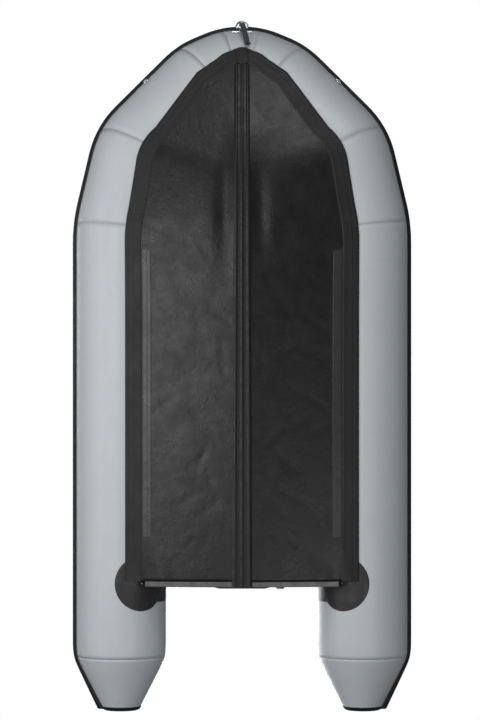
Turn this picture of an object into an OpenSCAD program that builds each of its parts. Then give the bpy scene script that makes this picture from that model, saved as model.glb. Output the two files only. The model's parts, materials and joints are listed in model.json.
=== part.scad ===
/* [Tube] */
// Diameter of the buoyancy tube
tube_d = 430; // [360:5:520]
// Thickness of the tube fabric at its glued seams
tube_wall = 2; // [1.5:0.5:4]
// Distance between the axes of the two side tubes
tube_gap = 1160; // [1000:10:1400]
// Length of a straight side tube, from tail cone to shoulder
side_len = 2054; // [1600:2:2500]
// Length of a shoulder panel on its cockpit side
shoulder_side = 300; // [240:5:380]
// Length of a bow quarter on its cockpit side
quarter_side = 56; // [40:1:80]
// Half length of the bow's middle on its cockpit side
bow_side = 6; // [5:0.5:12]
// Turn of the tube from side tube to shoulder
shoulder_turn = 13; // [10:1:18]
// Turn of the tube from shoulder to cheek
cheek_turn = 31; // [24:1:36]
// Turn of the tube from cheek to bow quarter
quarter_turn = 22; // [18:1:26]
// Rise of the tube axis from the side tubes to the bow
bow_rise = 190; // [140:5:240]
// Length of a tail cone
cone_len = 250; // [180:10:320]
// Diameter of a tail cone at its end cap
cone_end_d = 174; // [140:2:220]
// Thickness of an end cap
cap_t = 8; // [5:1:14]

/* [Rub strake] */
// How far the rub strake stands out of the tube
strake_out = 17; // [8:1:24]
// Height of the rub strake
strake_h = 64; // [40:2:90]
// How far the strake stands out at the tail end
strake_tail = 26; // [16:1:34]

/* [Bottom] */
// Depth of the keel line below the side tubes
keel_drop = 62; // [46:2:90]
// Thickness of the bottom skin
skin_t = 3; // [2:0.5:4]
// Width of the chine tape
chine_w = 80; // [50:2:100]
// Thickness of the chine tape
chine_t = 2; // [1.5:0.5:3]
// Width of a wear strip under a floor stringer
strip_w = 44; // [24:2:60]
// Width of the keel guard at the transom
guard_w = 96; // [70:2:120]
// Width of the keel guard at its bow end
guard_bow_w = 72; // [50:2:90]
// Thickness of the keel guard
guard_t = 6; // [4:0.5:9]
// Width of the keel nose patch
nose_w = 60; // [40:2:80]
// Diameter of the inflated keel
air_keel_d = 116; // [90:2:120]

/* [Transom] */
// Distance from the tail ends to the transom board's outer face
transom_x = 606; // [480:2:760]
// Thickness of the transom board
transom_t = 27; // [18:1:36]
// Height of the transom's top edge above the keel line
transom_h = 381; // [360:1:420]
// Radius of a holder's round patch
holder_r = 132; // [110:2:150]
// Thickness of a holder's patch
holder_t = 1.2; // [0.8:0.1:1.3]
// Thickness of a holder's upright flange
flange_t = 5; // [3:0.5:8]
// Height of a holder's flange
flange_h = 190; // [140:5:220]
// Reach of a holder's flange over the board
flange_reach = 48; // [30:2:70]
// Width of the outer motor pad
pad_w = 280; // [200:5:320]
// Width of the inner motor pad
inner_pad_w = 214; // [160:2:280]
// Height of the inner motor pad
pad_h = 150; // [110:5:180]
// Height of the outer motor pad
outer_pad_h = 325; // [200:5:330]
// Thickness of a motor pad
pad_t = 8; // [5:1:14]
// Radius of a pad screw's shank
screw_r = 3; // [2:0.5:4]
// Radius of the drain's bore
drain_r = 12; // [9:0.5:15]
// Wall of the drain socket
drain_wall = 3; // [2:0.5:4]
// Distance of the drain from the outer motor pad's side
drain_off = 40; // [28:2:60]

/* [Floor] */
// Thickness of a floorboard
floor_t = 12; // [9:1:16]
// Length of the whole floor
floor_len = 1930; // [1500:10:2000]
// Gap between neighbouring floorboards
board_gap = 4; // [3:0.5:8]
// Width of a joiner's flanges, along the boat
joiner_w = 30; // [20:2:50]
// Thickness of a joiner's flanges
joiner_t = 2; // [1.5:0.5:3]
// Width of a floor stringer
stringer_w = 34; // [24:2:44]
// Wall of a floor stringer
stringer_wall = 2; // [1.5:0.5:3]

/* [Seats] */
// Width of a seat board, along the boat
seat_w = 230; // [180:5:280]
// Thickness of a seat board
seat_t = 16; // [12:1:22]
// Place of the aft seat, from the tail ends
seat_aft_x = 1240; // [1200:10:1290]
// Place of the forward seat, from the tail ends
seat_fore_x = 1990; // [1940:10:2010]
// Distance each way that a seat slides in its tracks
seat_travel = 80; // [40:5:90]
// Diameter of a seat track's bolt rope
rope_d = 12; // [8:1:14]
// Length of track beyond a seat at the end of its travel
track_spare = 75; // [40:5:90]

/* [Rowlocks] */
// Place of the rowlocks, from the tail ends
lock_x = 1610; // [1560:10:1680]
// Diameter of a rowlock's upright pin
lock_pin_d = 14; // [10:1:18]
// Depth of the hole that the pin stands in
lock_depth = 34; // [24:2:40]
// Inner diameter of the rowlock's horns
lock_d = 42; // [36:1:50]

/* [Valves] */
// Place of the side valves, from the tail ends
valve_x = 860; // [820:10:950]
// Radius of a valve's mouth
mouth_r = 15; // [12:0.5:18]
// Radius of a valve's flange
valve_flange_r = 34; // [30:1:40]
// Travel of a valve's push stem
stem_travel = 5; // [3:0.5:6]

/* [Rings and lines] */
// Wire diameter of the tow rings
tow_wire = 6; // [4:0.5:8]
// Width of a tow ring
tow_ring_w = 40; // [30:1:50]
// Wire diameter of the bow ring
bow_wire = 8; // [6:0.5:10]
// Radius of the bow ring, at the middle of its wire
bow_ring_r = 28; // [24:1:34]
// Width of the bow bracket's wide bar
bracket_w = 100; // [80:2:120]
// Width of the bow strap
strap_w = 26; // [18:1:28]
// Thickness of the bow strap
strap_t = 9; // [6:0.5:10]
// Diameter of the grab line
line_d = 10; // [6:1:12]
// Spacing of the grab line's guides
guide_step = 380; // [300:10:440]

/* [Fits] */
// Radial clearance of a pin that turns in its hole
pin_clear = 0.08; // [0.04:0.01:0.1]
// Clearance between pieces that move past each other
gap = 1; // [0.5:0.1:1.5]
// Clearance of glued pieces
glue = 0.1; // [0.05:0.05:0.2]

/* [Hidden] */
$fn = 64;
tube_r = tube_d / 2;
far = 4 * tube_d;

// Path of the tube axis on the port side, from tail to bow
base_z = guard_t + keel_drop;
axis_z = base_z + tube_r;
half_gap = tube_gap / 2;
bow_turn = 90 - shoulder_turn - cheek_turn - quarter_turn;
head_1 = shoulder_turn;
head_2 = head_1 + cheek_turn;
head_3 = head_2 + quarter_turn;
shoulder_len = shoulder_side + tube_r * (tan(shoulder_turn / 2) + tan(cheek_turn / 2));
quarter_len = quarter_side + tube_r * (tan(quarter_turn / 2) + tan(bow_turn / 2));
bow_half = bow_side + tube_r * tan(bow_turn / 2);
cheek_run = half_gap - bow_half - quarter_len * sin(head_3) - shoulder_len * sin(head_1);
cheek_len = cheek_run / sin(head_2);
cone_x = cap_t;
side_x = cone_x + cone_len;
RISE = [0, 0, 0.2, 0.84, 1];
function ahead(p, len, head) = p + len * [cos(head), -sin(head)];
plan_1 = [side_x + side_len, half_gap];
plan_2 = ahead(plan_1, shoulder_len, head_1);
plan_3 = ahead(plan_2, cheek_len, head_2);
plan_4 = ahead(plan_3, quarter_len, head_3);
PLAN = [[side_x, half_gap], plan_1, plan_2, plan_3, plan_4];
AXIS = [for (i = [0:4]) [PLAN[i][0], PLAN[i][1], axis_z + bow_rise * RISE[i]]];
bow_x = plan_4[0];
bow_z = axis_z + bow_rise;
PATH = concat(AXIS, [[bow_x, -plan_4[1], bow_z]]);
function unit(v) = v / norm(v);
function heading(i) = unit(PATH[i + 1] - PATH[i]);
function mirrored(v) = [-v[0], v[1], -v[2]];
function mitre(i) = i == 0 ? [1, 0, 0] :
    unit(heading(i - 1) + (i == 5 ? mirrored(heading(3)) : heading(i)));
function lerp(a, b, f) = a + (b - a) * f;

// Bow ring: its bar stands this far out from the tube and this far below its equator
bar_out = tube_r + 17;
bar_down = 16;
bail_down = 26;
bar_x = bow_x + bar_out * cos(bar_down);
bar_z = bow_z - bar_out * sin(bar_down);
bow_end = bar_x + bow_ring_r + bow_wire / 2;

// Bottom skin: it leaves the tube at these angles outboard of its lowest line
LEAVE = [-7, -7, 0, 17, 28, 32];
lap = 1.6;
skin_r = tube_r + lap + skin_t;
skin_x = transom_x + transom_t;
end_x = bow_x + skin_r * sin(LEAVE[5]);
end_z = bow_z - skin_r * cos(LEAVE[5]);
rise_x = end_x - 2 * (end_z - guard_t) / tan(LEAVE[5]);
function keel_z(x) = guard_t + (x < rise_x ? 0 :
    (end_z - guard_t) * pow((x - rise_x) / (end_x - rise_x), 2));
KEEL_X = [skin_x, plan_1[0] - 30, plan_2[0] - 124, plan_3[0] - 181, bow_x - 110, bow_x - 30];
SKIN_AXIS = concat([[skin_x, half_gap, axis_z]], [for (i = [1:4]) AXIS[i]],
    [[bow_x, 0, bow_z]]);
function skin_mitre(n) = n == 0 ? [1, 0, 0] : n == 5 ? [0, 1, 0] : mitre(n);
function outward(t) = unit([-t[1], t[0], 0]);
function spoke(t, a) = outward(t) * sin(a) + cross(outward(t), t) * cos(a);
function on_tube(n, at, a, r) =
    let (t = heading(n), d = spoke(t, a), m = skin_mitre(at))
    SKIN_AXIS[at] + r * d - t * (r * (d * m) / (t * m));
function edge(n, f, r) =
    let (a = lerp(LEAVE[n], LEAVE[n + 1], f))
    lerp(on_tube(n, n, a, r), on_tube(n, n + 1, a, r), f);
function keel_at(n, f, dz) =
    let (x = lerp(KEEL_X[n], KEEL_X[n + 1], f))
    [x, 0, keel_z(x) + dz];
STATIONS = concat([for (f = [0, 0.35, 0.7]) [0, f]], [for (f = [0:0.25:0.75]) [1, f]],
    [for (f = [0:0.2:0.8]) [2, f]], [for (f = [0:0.34:0.7]) [3, f]], [[4, 0], [4, 0.5], [4, 1]]);
chine_slope = (edge(0, 0, skin_r)[2] - guard_t) / edge(0, 0, skin_r)[1];

// Floor
floor_z = guard_t + skin_t + air_keel_d + 6;
floor_top = floor_z + floor_t;
function tube_inside(z) = half_gap - sqrt(pow(tube_r, 2) - pow(axis_z - z, 2));
stringer_y = tube_inside(floor_top + stringer_wall + gap) - 3 * gap;
floor_y = stringer_y - stringer_wall - gap;
floor_x = skin_x + flange_t + 6;
stringer_x = floor_x + 200;
stringer_end = plan_1[0] - 90;
boards = 3;
board_len = (floor_len - (boards - 1) * board_gap) / boards;

// Seats hang on bolt ropes at this angle above the tube axes
track_up = 42;
rope_off = rope_d / 2 + 10;
rope_y = half_gap - (tube_r + rope_off) * cos(track_up);
rope_z = axis_z + (tube_r + rope_off) * sin(track_up);
track_x = (seat_aft_x + seat_fore_x) / 2;
track_len = seat_fore_x - seat_aft_x + seat_w + 2 * (seat_travel + track_spare);
channel_wall = 3;
channel_r = rope_d / 2 + gap + channel_wall;

seat_z = rope_z + channel_r + glue;
seat_half = rope_y + 5;

// Valves stand at this angle inboard of the tube's highest line
valve_tilt = 35;
neck_r = mouth_r + 6;
neck_len = 32;
web_z = -17 - stem_travel;
web_t = 3;
guide_r = 3;
keel_valve_x = floor_x + 140;
keel_r = air_keel_d / 2;
keel_z_mid = guard_t + skin_t + keel_r / cos(atan(chine_slope)) + 0.8;
keel_end = rise_x - 40;

// Transom
board_half = half_gap - tube_r * sin(34);
board_top = guard_t + transom_h;
pad_top = board_top - 12;
holder_tilt = 29;
drain_y = pad_w / 2 + drain_off;
drain_z = guard_t + chine_slope * drain_y + skin_t + drain_r + drain_wall + 11;
head_r = 2 * screw_r;
screw_y = inner_pad_w / 2 - 2 * pad_t - head_r / 2;

// Rowlocks
tube_top = axis_z + tube_r;
boss_top = tube_top + lock_depth + 6;
horn_wire = 5;
horn_r = lock_d / 2 + horn_wire;
horn_z = boss_top + 8 + horn_r;

// Tow rings sit at this angle outboard of the cheek's lowest line
tow_angle = 71;
tow_share = 0.54;
tow_r = tow_ring_w / 2 - tow_wire / 2;
tow_lift = tube_r + 8;

// Grab lines run at this angle outboard of the side tube's lowest line
line_angle = 122;
line_lift = tube_r + 12;
line_x = floor_x + 60;
guides = 5;

// Strap route from the bow ring down to the keel nose, measured from the ring's bar
STRAP = [[14, -2, 20], [14, -2, 8], [14, -2, -8], [15, -1, -30], [10, 1, -56], [-3, 5, -80],
    [-23, 10, -101], [-47, 16, -115], [-68, 21, -123], [-82, 24, -127]];

// Everything is drawn from the tail ends forward, then moved to the middle of the boat
module place() {
    translate([-bow_end / 2, 0, 0]) children();
}

module port_and_starboard() {
    children();
    mirror([0, 1, 0]) children();
}

module starboard() {
    mirror([0, 1, 0]) children();
}

// Turns the Z axis along a direction; local Y then points outboard on the port side
module facing(d) {
    rotate([0, acos(d[2] / norm(d)), atan2(d[1], d[0])]) children();
}

module beyond(p, d) {
    translate(p) facing(d) translate([-far / 2, -far / 2, 0]) cube(far);
}

// Cuts a straight piece at the mitres at both ends of one stretch of the path
module between_mitres(i, back = 0) {
    difference() {
        translate(PATH[i] - heading(i) * tube_d) facing(heading(i)) children();
        beyond(PATH[i] + heading(i) * back, -mitre(i));
        beyond(PATH[i + 1] - heading(i) * back, mitre(i + 1));
    }
}

function run(i) = norm(PATH[i + 1] - PATH[i]) + 2 * tube_d;

module tube_piece(i, seam = 0) {
    between_mitres(i, seam) difference() {
        cylinder(r = tube_r, h = run(i));
        translate([0, 0, -1]) cylinder(r = tube_r - tube_wall, h = run(i) + 2);
    }
}

module strake_section() {
    difference() {
        polygon([[-strake_h / 2, tube_r - 14], [strake_h / 2, tube_r - 14],
            [strake_h / 2, tube_r + strake_out * 0.3],
            [strake_h * 0.28, tube_r + strake_out], [-strake_h * 0.28, tube_r + strake_out],
            [-strake_h / 2, tube_r + strake_out * 0.3]]);
        circle(r = tube_r + glue, $fn = 128);
    }
}

module strake_piece(i) {
    between_mitres(i, 0.5) linear_extrude(run(i)) strake_section();
}

module tube_segment(a, b, r) {
    translate(a) facing(b - a) cylinder(r = r, h = norm(b - a));
}

// Skins a row of closed sections that run along a path
module sweep(rings) {
    n = len(rings);
    m = len(rings[0]);
    sides = [for (i = [0:n - 2], k = [0:m - 1])
        let (a = i * m + k, b = i * m + (k + 1) % m)
        each [[a, b, b + m], [a, b + m, a + m]]];
    tail = [for (k = [1:m - 2]) [0, k + 1, k]];
    nose = [for (k = [1:m - 2]) [(n - 1) * m, (n - 1) * m + k, (n - 1) * m + k + 1]];
    polyhedron(points = [for (r = rings) each r], faces = concat(sides, tail, nose));
}

// ---- Tubes

module fabric(tone) {
    color(tone) place() children();
}

GREY = [0.62, 0.66, 0.69];
BLACK = [0.09, 0.09, 0.1];
STEEL = [0.75, 0.76, 0.78];

module valve_frame_side() {
    translate([valve_x, half_gap, axis_z]) rotate([valve_tilt, 0, 0])
        translate([0, 0, tube_r]) children();
}

module valve_frame_keel() {
    translate([keel_valve_x, 0, keel_z_mid + keel_r]) children();
}

module neck_hole() {
    translate([0, 0, -neck_len - 10]) cylinder(r = neck_r + glue, h = neck_len + 30);
}

module side_tube() {
    difference() {
        tube_piece(0);
        valve_frame_side() neck_hole();
    }
}

module side_tube_port() { fabric(GREY) side_tube(); }
module side_tube_starboard() { fabric(GREY) starboard() side_tube(); }
module shoulder_port() { fabric(GREY) tube_piece(1); }
module shoulder_starboard() { fabric(GREY) starboard() tube_piece(1); }
module cheek_port() { fabric(GREY) tube_piece(2); }
module cheek_starboard() { fabric(GREY) starboard() tube_piece(2); }

// Three gores that meet at narrow seams
module bow_panel() {
    fabric(GREY) {
        port_and_starboard() tube_piece(3, glue);
        tube_piece(4, glue);
    }
}

module cone(spare) {
    translate([cone_x, half_gap, axis_z]) rotate([0, 90, 0])
        cylinder(r1 = cone_end_d / 2 - spare, r2 = tube_r - spare, h = cone_len);
}

module tail_cone() {
    difference() {
        cone(0);
        cone(tube_wall);
        translate([cone_x - 1, half_gap, axis_z]) rotate([0, 90, 0])
            cylinder(r = cone_end_d / 2 - tube_wall, h = 2);
    }
}

module tail_cone_port() { fabric(GREY) tail_cone(); }
module tail_cone_starboard() { fabric(GREY) starboard() tail_cone(); }

module end_cap() {
    translate([0, half_gap, axis_z]) rotate([0, 90, 0])
        cylinder(r1 = cone_end_d / 2 - cap_t, r2 = cone_end_d / 2, h = cap_t);
}

module end_cap_port() { fabric(BLACK) end_cap(); }
module end_cap_starboard() { fabric(BLACK) starboard() end_cap(); }

// Cone-shaped walls that divide the tube into chambers
module baffles() {
    baffle_r = tube_r - tube_wall - glue;
    fabric(GREY) port_and_starboard() translate([plan_1[0] - 300, half_gap, axis_z])
        rotate([0, 90, 0]) difference() {
            cylinder(r1 = baffle_r, r2 = 20, h = 130);
            translate([0, 0, -0.01]) cylinder(r1 = baffle_r - 2 * tube_wall, r2 = 20 - tube_wall, h = 128);
        }
}

// ---- Rub strake, in butted lengths

module tail_strake() {
    difference() {
        translate([0, half_gap, axis_z - strake_h / 2]) linear_extrude(strake_h)
            polygon([[side_x - 0.5, tube_r - 30], [side_x - 0.5, tube_r + strake_out],
                [cone_x, cone_end_d / 2 + strake_tail], [cone_x, cone_end_d / 2 - 12]]);
        cone(-glue);
    }
}

module strake_length() {
    tail_strake();
    for (i = [0:3]) strake_piece(i);
}

module rub_strake_port() {
    fabric(BLACK) {
        strake_length();
        strake_piece(4);
    }
}

module rub_strake_starboard() { fabric(BLACK) starboard() strake_length(); }

// ---- Bottom

COLUMNS = [0, 0.3, 0.65, 1];
lay = 0.25;

function skin_ring(n, f) = concat(
    [for (c = COLUMNS) lerp(edge(n, f, tube_r + lap), keel_at(n, f, skin_t), c)],
    [for (c = COLUMNS) lerp(keel_at(n, f, 0), edge(n, f, skin_r), c)]);

module bottom_skin() {
    sweep([for (s = STATIONS) skin_ring(s[0], s[1])]);
}

module bottom_skin_port() { fabric(BLACK) bottom_skin(); }
module bottom_skin_starboard() { fabric(BLACK) starboard() bottom_skin(); }

function tape_ring(n, f) =
    let (b = edge(n, f, skin_r), k = keel_at(n, f, 0),
        e = lerp(b, k, min(0.9, chine_w / norm(b - k))), low = [0, 0, -chine_t], off = [0, 0, -lay])
    [b + off, e + off, e + low, b + low];

module chine_tape() {
    sweep([for (s = STATIONS) tape_ring(s[0], s[1])]);
}

module chine_tape_port() { fabric(BLACK) chine_tape(); }
module chine_tape_starboard() { fabric(BLACK) starboard() chine_tape(); }

function chine_point(y, drop) = [y, guard_t + chine_slope * y - drop];

module wear_strips() {
    outer = edge(0, 0, skin_r)[1] - chine_w - 2;
    fabric(BLACK) port_and_starboard() translate([stringer_x, 0, 0]) rotate([90, 0, 90])
        linear_extrude(stringer_end - stringer_x)
            polygon([chine_point(outer, 0.05), chine_point(outer - strip_w, 0.05),
                chine_point(outer - strip_w, 1.4), chine_point(outer, 1.4)]);
}

module air_keel() {
    wall = tube_wall;
    fabric(BLACK) difference() {
        translate([floor_x, 0, keel_z_mid]) rotate([0, 90, 0]) rotate_extrude() polygon([
            [0, 0], [keel_r, 0], [keel_r, keel_end - floor_x], [keel_r * 0.3, keel_end - floor_x + 240],
            [0, keel_end - floor_x + 240], [0, keel_end - floor_x + 238],
            [keel_r * 0.3 - wall, keel_end - floor_x + 238], [keel_r - wall, keel_end - floor_x],
            [keel_r - wall, wall], [0, wall]]);
        valve_frame_keel() neck_hole();
    }
}

// Cross-section of the keel guard: a shallow V on top and three ridges below
GUARD = [[0.5, 0.4], [0.46, 1], [0.3, 1], [0.26, 0.65], [0.12, 0.65], [0.08, 1],
    [-0.08, 1], [-0.12, 0.65], [-0.26, 0.65], [-0.3, 1], [-0.46, 1], [-0.5, 0.4]];
guard_end = end_x - chine_w - 6;
guard_lengths = 3;

function guard_ring(x) =
    let (w = lerp(guard_w, guard_bow_w, (x - transom_x) / (guard_end - transom_x)), z = keel_z(x))
    concat([for (g = GUARD) [x, g[0] * w, z - g[1] * guard_t]],
        [for (side = [-1, 0, 1]) [x, side * w / 2, z + abs(side) * 0.085 * w / 2 - lay]]);

// Straight lengths butt end to end under the floor, and one more bends up to the bow
module keel_guard() {
    start = transom_x + 1;
    each_len = (rise_x - start) / guard_lengths;
    fabric(BLACK) {
        for (k = [0:guard_lengths - 1]) sweep([
            guard_ring(start + k * each_len + glue), guard_ring(start + (k + 1) * each_len - glue)]);
        sweep([for (k = [0:14]) guard_ring(lerp(rise_x + glue, guard_end, k / 14))]);
    }
}

// The patch follows the skin's centre line from the guard to the skin's end
module keel_nose_patch() {
    from = guard_end + 1;
    fabric(BLACK) sweep([for (f = [0:0.25:1])
        let (x = lerp(from, end_x, f), z = keel_z(x) - chine_t - 2 * lay)
        [[x, nose_w / 2, z], [x, nose_w / 2, z - 3], [x, -nose_w / 2, z - 3], [x, -nose_w / 2, z]]]);
}

// ---- Transom

module along_side(r, x, len) {
    translate([x, half_gap, axis_z]) rotate([0, 90, 0]) cylinder(r = r, h = len);
}

module across(x, t) {
    translate([x, 0, 0]) rotate([90, 0, 90]) linear_extrude(t) children();
}

module at_screws() {
    for (y = [-screw_y, screw_y], z = [pad_top - pad_h + 25, pad_top - 25]) translate([0, y, z])
        rotate([0, 90, 0]) children();
}

module screw_holes() {
    translate([transom_x - far / 2, 0, 0]) at_screws() cylinder(r = screw_r + pin_clear, h = far);
}

module transom_board() {
    color("dimgray") place() difference() {
        across(transom_x, transom_t) polygon([chine_point(board_half, 0), [board_half, board_top],
            [-board_half, board_top], [-board_half, chine_point(board_half, 0)[1]], [0, guard_t]]);
        port_and_starboard() along_side(tube_r + holder_t + 3 * glue, transom_x - 1, transom_t + 2);
        screw_holes();
        translate([transom_x - 1, drain_y, drain_z]) rotate([0, 90, 0])
            cylinder(r = drain_r + drain_wall + glue / 2, h = transom_t + 2);
    }
}

module flange_outline() {
    corner = 30;
    low = axis_z - flange_h / 2;
    inner = half_gap - tube_r - flange_reach;
    translate([inner + corner, low]) square([flange_reach + 30, flange_h]);
    translate([inner, low + corner]) square([flange_reach + 60, flange_h - 2 * corner]);
    for (z = [low + corner, low + flange_h - corner]) translate([inner + corner, z]) circle(r = corner);
}

// Round patches lap the tube below and above, and a wall between them carries the flanges
// A holder is a disc lapped below the tube and one above it, joined by a wall behind the flanges
module holder_lap() {
    mid = transom_x + transom_t / 2;
    intersection() {
        difference() {
            along_side(tube_r + glue + holder_t, mid - 1.2 * holder_r, 2.4 * holder_r);
            along_side(tube_r + glue, mid - 1.2 * holder_r - 1, 2.4 * holder_r + 2);
        }
        children();
    }
}

module transom_holder() {
    mid = transom_x + transom_t / 2;
    for (tilt = [holder_tilt, 180 - holder_tilt])
        holder_lap() translate([mid, half_gap, axis_z]) rotate([180 - tilt, 0, 0])
            translate([0, 0, tube_r * 0.6]) cylinder(r = holder_r, h = tube_d);
    holder_lap() translate([mid - holder_r * 0.7, half_gap - tube_d, axis_z - flange_h / 2])
        cube([holder_r * 1.4, tube_d, flange_h]);
    difference() {
        for (x = [transom_x - flange_t - glue, transom_x + transom_t + glue])
            across(x, flange_t) flange_outline();
        along_side(tube_r + glue + holder_t / 2, transom_x - far / 4, far / 2);
    }
}

module transom_holder_port() { fabric(BLACK) transom_holder(); }
module transom_holder_starboard() { fabric(BLACK) starboard() transom_holder(); }

// Motor pads are thinner towards their ends
module pad(x_board, x_face, wide, narrow, high) {
    difference() {
        translate([0, 0, pad_top - high]) linear_extrude(high)
            polygon([[x_board, -wide / 2], [x_board, wide / 2], [x_face, narrow / 2], [x_face, -narrow / 2]]);
        screw_holes();
        translate([x_face, 0, 0]) at_screws() cylinder(r = head_r + 0.5, h = pad_t, center = true);
    }
}

module outer_motor_pad() {
    fabric(BLACK) pad(transom_x - glue, transom_x - glue - pad_t, pad_w, pad_w - 8 * pad_t, outer_pad_h);
}

module inner_motor_pad() {
    inside = skin_x + glue;
    fabric(BLACK) pad(inside, inside + pad_t, inner_pad_w, inner_pad_w - 2 * pad_t, pad_h);
}

// Their heads and nuts lie in recesses, so that a clamp lies flat on the pads
module pad_screws() {
    head = pad_t / 2 - 1;
    span = transom_t + pad_t + 4 * glue;
    color(STEEL) place() translate([transom_x - pad_t / 2 - 2 * glue, 0, 0]) at_screws() {
        cylinder(r = screw_r, h = span);
        translate([0, 0, -head]) cylinder(r = head_r, h = head);
        translate([0, 0, span]) cylinder(r = head_r * 0.9, h = head, $fn = 6);
    }
}

module at_drain(x) {
    translate([x, drain_y, drain_z]) rotate([0, 90, 0]) children();
}

module drain_socket() {
    lip = 3;
    color(BLACK) place() difference() {
        at_drain(transom_x - lip - glue) {
            cylinder(r = drain_r + drain_wall, h = transom_t + 2 * lip + 2 * glue);
            cylinder(r = drain_r + drain_wall + 7, h = lip);
            translate([0, 0, transom_t + lip + 2 * glue]) cylinder(r = drain_r + drain_wall + 7, h = lip);
        }
        at_drain(transom_x - far / 4) cylinder(r = drain_r, h = far / 2);
    }
}

module drain_plug() {
    head = 6;
    color("dimgray") place() at_drain(transom_x - 3 - 2 * glue - head) {
        cylinder(r = drain_r + drain_wall + 2, h = head);
        cylinder(r = drain_r - pin_clear, h = head + 22);
    }
}

// ---- Floor

module board(k, taper = 0) {
    x = floor_x + k * (board_len + board_gap);
    bend = max(x, min(x + board_len, stringer_end));
    color("peru") place() difference() {
        translate([0, 0, floor_z]) linear_extrude(floor_t) polygon([[x, -floor_y], [x, floor_y],
            [bend, floor_y], [x + board_len, floor_y - taper],
            [x + board_len, -floor_y + taper], [bend, -floor_y]]);
        valve_frame_keel() translate([0, 0, -20]) cylinder(r = valve_flange_r + 4, h = 60);
    }
}

module floorboard_aft() { board(0); }
module floorboard_middle() { board(1); }
module floorboard_fore() { board(2, 90); }

// An H-shaped strip between each two floorboards
module floor_joiners() {
    half = floor_y - stringer_w - 2;
    color("silver") place() for (k = [1:boards - 1]) {
        mid = floor_x + k * (board_len + board_gap) - board_gap / 2;
        for (z = [floor_z - glue - joiner_t, floor_top + glue])
            translate([mid - joiner_w / 2, -half, z]) cube([joiner_w, 2 * half, joiner_t]);
        translate([mid - board_gap / 2 + glue, -half, floor_z - glue - joiner_t])
            cube([board_gap - 2 * glue, 2 * half, floor_t + 2 * joiner_t + 2 * glue]);
    }
}

module floor_stringers() {
    low = floor_z - glue - stringer_wall;
    high = floor_t + 2 * glue + 2 * stringer_wall;
    color("silver") place() port_and_starboard() difference() {
        translate([stringer_x, stringer_y - stringer_w, low])
            cube([stringer_end - stringer_x, stringer_w, high]);
        translate([stringer_x - 1, stringer_y - stringer_w - stringer_wall, floor_z - glue])
            cube([stringer_end - stringer_x + 2, stringer_w, floor_t + 2 * glue]);
    }
}

// ---- Seats

module seat_tracks() {
    color(BLACK) place() port_and_starboard() across(track_x - track_len / 2, track_len)
        translate([half_gap, axis_z]) rotate(180 - track_up) {
            translate([tube_r + rope_off, 0]) circle(r = rope_d / 2);
            translate([tube_r + glue, -1.5]) square([rope_off, 3]);
            intersection() {
                difference() {
                    circle(r = tube_r + 1.5, $fn = 128);
                    circle(r = tube_r + glue, $fn = 128);
                }
                translate([0, -25]) square([2 * tube_r, 50]);
            }
        }
}

// A channel that rides on the bolt rope, with a ledge that the board is screwed to
module channel_section() {
    difference() {
        union() {
            translate([rope_y, rope_z]) circle(r = channel_r);
            translate([rope_y - 60, rope_z + channel_r - channel_wall]) square([60, channel_wall]);
        }
        translate([rope_y, rope_z]) circle(r = channel_r - channel_wall);
        translate([rope_y, rope_z]) rotate(-track_up) translate([0, -1.5 - gap])
            square([2 * channel_r, 3 + 2 * gap]);
    }
}

module seat_channels(x) {
    color("silver") place() port_and_starboard() across(x - seat_w / 2, seat_w) channel_section();
}

module seat_board(x) {
    color("peru") place() translate([x - seat_w / 2, -seat_half, seat_z])
        cube([seat_w, 2 * seat_half, seat_t]);
}

module seat_board_aft() { seat_board(seat_aft_x); }
module seat_channels_aft() { seat_channels(seat_aft_x); }
module seat_board_fore() { seat_board(seat_fore_x); }
module seat_channels_fore() { seat_channels(seat_fore_x); }

// ---- Rowlocks

module rowlock_base() {
    difference() {
        union() {
            intersection() {
                along_side(tube_r + 5, lock_x - 60, 120);
                translate([lock_x, half_gap, axis_z]) cylinder(r = 55, h = tube_d);
            }
            translate([lock_x, half_gap, axis_z]) cylinder(r = 22, h = boss_top - axis_z);
        }
        along_side(tube_r + glue, lock_x - 100, 200);
        translate([lock_x, half_gap, boss_top - lock_depth])
            cylinder(r = lock_pin_d / 2 + pin_clear, h = lock_depth + 1);
    }
}

module rowlock_base_port() { color(BLACK) place() rowlock_base(); }
module rowlock_base_starboard() { color(BLACK) place() starboard() rowlock_base(); }

// A pin with a collar, and horns that open upwards
module rowlock() {
    translate([lock_x, half_gap, 0]) {
        translate([0, 0, boss_top - lock_depth + gap])
            cylinder(r = lock_pin_d / 2, h = horn_z - horn_r - boss_top + lock_depth);
        translate([0, 0, boss_top + gap]) cylinder(r = lock_pin_d / 2 + 4, h = 4);
        translate([0, 0, horn_z]) rotate([90, 0, 0]) rotate(125) rotate_extrude(angle = 290)
            translate([horn_r, 0]) circle(r = horn_wire);
    }
}

module rowlock_port() { color(STEEL) place() rowlock(); }
module rowlock_starboard() { color(STEEL) place() starboard() rowlock(); }

// ---- Valves

// Flanged body on a tube of radius r, with a web that guides the stem
module valve_body(r) {
    sink = r - sqrt(r * r - valve_flange_r * valve_flange_r) + 1;
    difference() {
        union() {
            difference() {
                translate([0, 0, -sink]) cylinder(r = valve_flange_r, h = sink + 4);
                translate([-far / 2, 0, -r]) rotate([0, 90, 0]) cylinder(r = r + glue, h = far);
            }
            translate([0, 0, -neck_len]) cylinder(r = neck_r, h = neck_len + 4);
        }
        translate([0, 0, web_z + web_t]) cylinder(r = mouth_r, h = neck_len);
        translate([0, 0, -neck_len - 1]) cylinder(r = mouth_r, h = neck_len + 1 + web_z);
        translate([0, 0, -neck_len]) cylinder(r = guide_r + pin_clear, h = neck_len);
    }
}

module valve_bodies() {
    color(BLACK) place() {
        port_and_starboard() valve_frame_side() valve_body(tube_r);
        valve_frame_keel() valve_body(keel_r);
    }
}

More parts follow.
